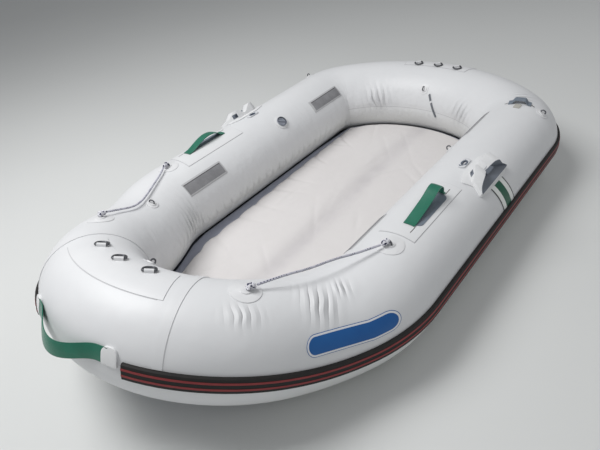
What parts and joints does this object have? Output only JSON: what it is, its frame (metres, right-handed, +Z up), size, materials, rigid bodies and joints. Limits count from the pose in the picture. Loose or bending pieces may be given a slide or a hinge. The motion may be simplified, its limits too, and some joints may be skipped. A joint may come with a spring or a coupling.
{
  "type": "inflatable dinghy",
  "caption": "Soft-floored inflatable dinghy with a round tail, a raised bow, webbing handles, life lines, moulded rowlocks and D rings.",
  "frame": {"origin": "middle of the footprint at the height of the lowest point", "axes": "+X toward the bow, +Y to port, +Z up"},
  "size_m": [2.3305, 1.3702, 0.4822],
  "materials": {
    "tube_cloth": "coated fabric, satin",
    "seam_tape": "coated fabric, satin",
    "bottom_cloth": "coated fabric, satin",
    "floor_cloth": "coated fabric, matt",
    "strake": "satin",
    "strake_bead": "satin",
    "ring_steel": "dull",
    "ring_patch": "coated fabric, satin",
    "eye_pad": "coated fabric with a wire eye",
    "line": "braided",
    "doubler": "coated fabric, satin",
    "web": "woven",
    "moulding": "moulded, satin",
    "seat_patch": "hook-and-loop pile",
    "valve_cap": "satin",
    "grey_web": "woven"
  },
  "bodies": {
    "boat": {"hull_tube_stern": "tube_cloth", "hull_tube_bow": "tube_cloth", "hull_tube_port": "tube_cloth", "hull_shoulder_port": "tube_cloth", "hull_tube_starboard": "tube_cloth", "hull_shoulder_starboard": "tube_cloth", "bow_seam_tape_port": "seam_tape", "bow_seam_tape_starboard": "seam_tape", "bottom_cloth": "bottom_cloth", "air_floor": "floor_cloth", "rub_strake": "strake", "strake_bead_upper": "strake_bead", "strake_bead_lower": "strake_bead", "bow_ring_patch": "ring_patch", "stern_ring_patch": "ring_patch", "line_pad_fore_port": "eye_pad", "line_knot_fore_port": "line", "line_pad_aft_port": "eye_pad", "line_knot_aft_port": "line", "life_line_port": "line", "line_pad_fore_starboard": "eye_pad", "line_knot_fore_starboard": "line", "line_pad_aft_starboard": "eye_pad", "line_knot_aft_starboard": "line", "life_line_starboard": "line", "bow_inner_eye": "eye_pad", "stern_inner_eye": "eye_pad", "middle_eye_starboard": "eye_pad", "seat_eye_port": "eye_pad", "quarter_eye_port": "eye_pad", "quarter_eye_starboard": "eye_pad", "handle_doubler_port": "doubler", "side_handle_port": "web", "handle_doubler_starboard": "doubler", "side_handle_starboard": "web", "bow_handle_web": "web", "bow_handle_end_port": "moulding", "bow_handle_end_starboard": "moulding", "seat_patch_fore_port": "seat_patch", "seat_patch_fore_starboard": "seat_patch", "seat_patch_aft_port": "seat_patch", "seat_patch_aft_starboard": "seat_patch", "rowlock_port": "moulding", "rowlock_keeper_port": "moulding", "rowlock_starboard": "moulding", "rowlock_keeper_starboard": "moulding", "valve_body": "moulding", "valve_cap": "valve_cap", "quarter_loop_port": "grey_web"},
    "bow_ring_middle": {"bow_ring_middle": "ring_steel"},
    "bow_ring_port": {"bow_ring_port": "ring_steel"},
    "bow_ring_starboard": {"bow_ring_starboard": "ring_steel"},
    "stern_ring_middle": {"stern_ring_middle": "ring_steel"},
    "stern_ring_port": {"stern_ring_port": "ring_steel"},
    "stern_ring_starboard": {"stern_ring_starboard": "ring_steel"}
  },
  "joints": [
    {"name": "bow_ring_middle_hinge", "type": "hinge", "parent": "boat", "child": "bow_ring_middle", "pos_m": [0.88903, 0, 0.47355], "axis": [-0.675, 0.6865, -0.2704], "range_deg": [0, 140]},
    {"name": "bow_ring_port_hinge", "type": "hinge", "parent": "boat", "child": "bow_ring_port", "pos_m": [0.87374, 0.11214, 0.4668], "axis": [-0.6732, 0.685, -0.2784], "range_deg": [0, 140]},
    {"name": "bow_ring_starboard_hinge", "type": "hinge", "parent": "boat", "child": "bow_ring_starboard", "pos_m": [0.87374, -0.11214, 0.4668], "axis": [-0.6757, 0.6882, -0.2643], "range_deg": [0, 140]},
    {"name": "stern_ring_middle_hinge", "type": "hinge", "parent": "boat", "child": "stern_ring_middle", "pos_m": [-0.99427, 0, 0.34099], "axis": [0.7514, -0.6593, 0.0262], "range_deg": [0, 140]},
    {"name": "stern_ring_port_hinge", "type": "hinge", "parent": "boat", "child": "stern_ring_port", "pos_m": [-0.9867, 0.10252, 0.34099], "axis": [0.7514, -0.6592, 0.0293], "range_deg": [0, 140]},
    {"name": "stern_ring_starboard_hinge", "type": "hinge", "parent": "boat", "child": "stern_ring_starboard", "pos_m": [-0.9867, -0.10252, 0.34099], "axis": [0.7515, -0.6594, 0.0226], "range_deg": [0, 140]}
  ]
}
